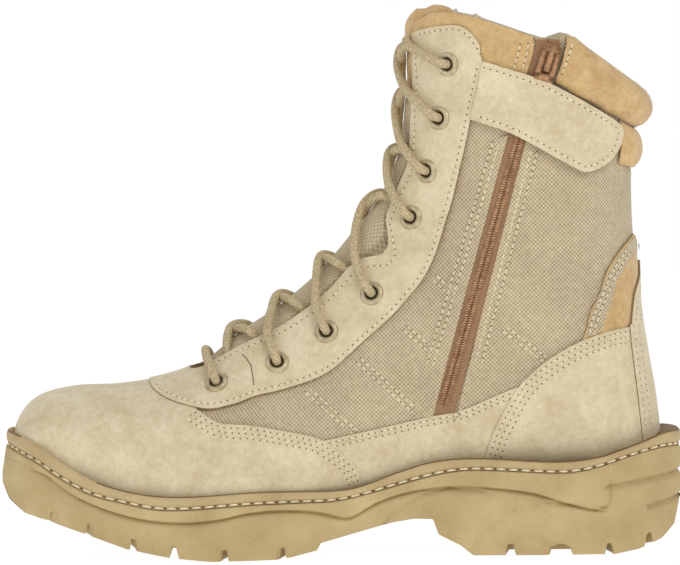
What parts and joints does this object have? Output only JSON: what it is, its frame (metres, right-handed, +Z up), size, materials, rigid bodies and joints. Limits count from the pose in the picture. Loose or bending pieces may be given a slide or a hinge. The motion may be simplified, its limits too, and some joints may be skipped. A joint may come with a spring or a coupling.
{
  "type": "side-zip combat boot",
  "caption": "Right high-shaft lace-up boot with lugged rubber sole, suede overlays on woven cloth, padded collar and a zip on its inner side.",
  "frame": {"origin": "middle of the boot's box, on the floor under the sole", "axes": "+X to the toe, +Y to the inner side with the zip, +Z up"},
  "size_m": [0.307, 0.1102, 0.2504],
  "materials": {
    "rubber_sole": "matt moulded tan rubber",
    "rubber_welt": "matt moulded tan rubber, stitched",
    "woven_upper": "coarse woven nylon",
    "lining": "light mesh lining",
    "tongue_cloth": "padded woven nylon with suede edge",
    "light_suede": "light sand suede",
    "brown_suede": "tan brown suede",
    "zip_tape": "brown woven zip tape and coil",
    "zip_metal": "lacquered brown slider",
    "eyelet_metal": "satin sand lacquer",
    "lace": "round braided cord"
  },
  "bodies": {
    "boot": {"outsole": "rubber_sole", "welt": "rubber_welt", "upper": "woven_upper", "insole": "lining", "tongue": "tongue_cloth", "eyestay": "light_suede", "toe_vamp": "light_suede", "heel_counter": "light_suede", "foxing_medial": "light_suede", "collar_front_medial": "brown_suede", "heel_panel_medial": "brown_suede", "foxing_lateral": "light_suede", "collar_front_lateral": "brown_suede", "heel_panel_lateral": "brown_suede", "backstay": "light_suede", "collar_roll_upper": "brown_suede", "collar_roll_lower": "brown_suede", "zip_tape_front": "zip_tape", "zip_tape_back": "zip_tape", "zip_strap": "light_suede", "zip_slider": "zip_metal", "eyelet_medial_1": "eyelet_metal", "eyelet_medial_2": "eyelet_metal", "eyelet_medial_3": "eyelet_metal", "eyelet_medial_4": "eyelet_metal", "eyelet_medial_5": "eyelet_metal", "eyelet_medial_6": "eyelet_metal", "eyelet_medial_7": "eyelet_metal", "eyelet_medial_8": "eyelet_metal", "eyelet_lateral_1": "eyelet_metal", "eyelet_lateral_2": "eyelet_metal", "eyelet_lateral_3": "eyelet_metal", "eyelet_lateral_4": "eyelet_metal", "eyelet_lateral_5": "eyelet_metal", "eyelet_lateral_6": "eyelet_metal", "eyelet_lateral_7": "eyelet_metal", "eyelet_lateral_8": "eyelet_metal", "lace_bar": "lace", "lace_crossing_1": "lace", "lace_crossing_2": "lace", "lace_crossing_3": "lace", "lace_crossing_4": "lace", "lace_crossing_5": "lace", "lace_crossing_6": "lace", "lace_crossing_7": "lace", "lace_end_medial": "lace", "lace_end_lateral": "lace"},
    "pull": {"zip_pull": "zip_metal"}
  },
  "joints": [
    {"name": "pull_hinge", "type": "hinge", "parent": "boot", "child": "pull", "pos_m": [-0.09628, 0.03879, 0.22666], "axis": [0.9482, 0.0907, 0.3046], "range_deg": [0, 150]}
  ]
}
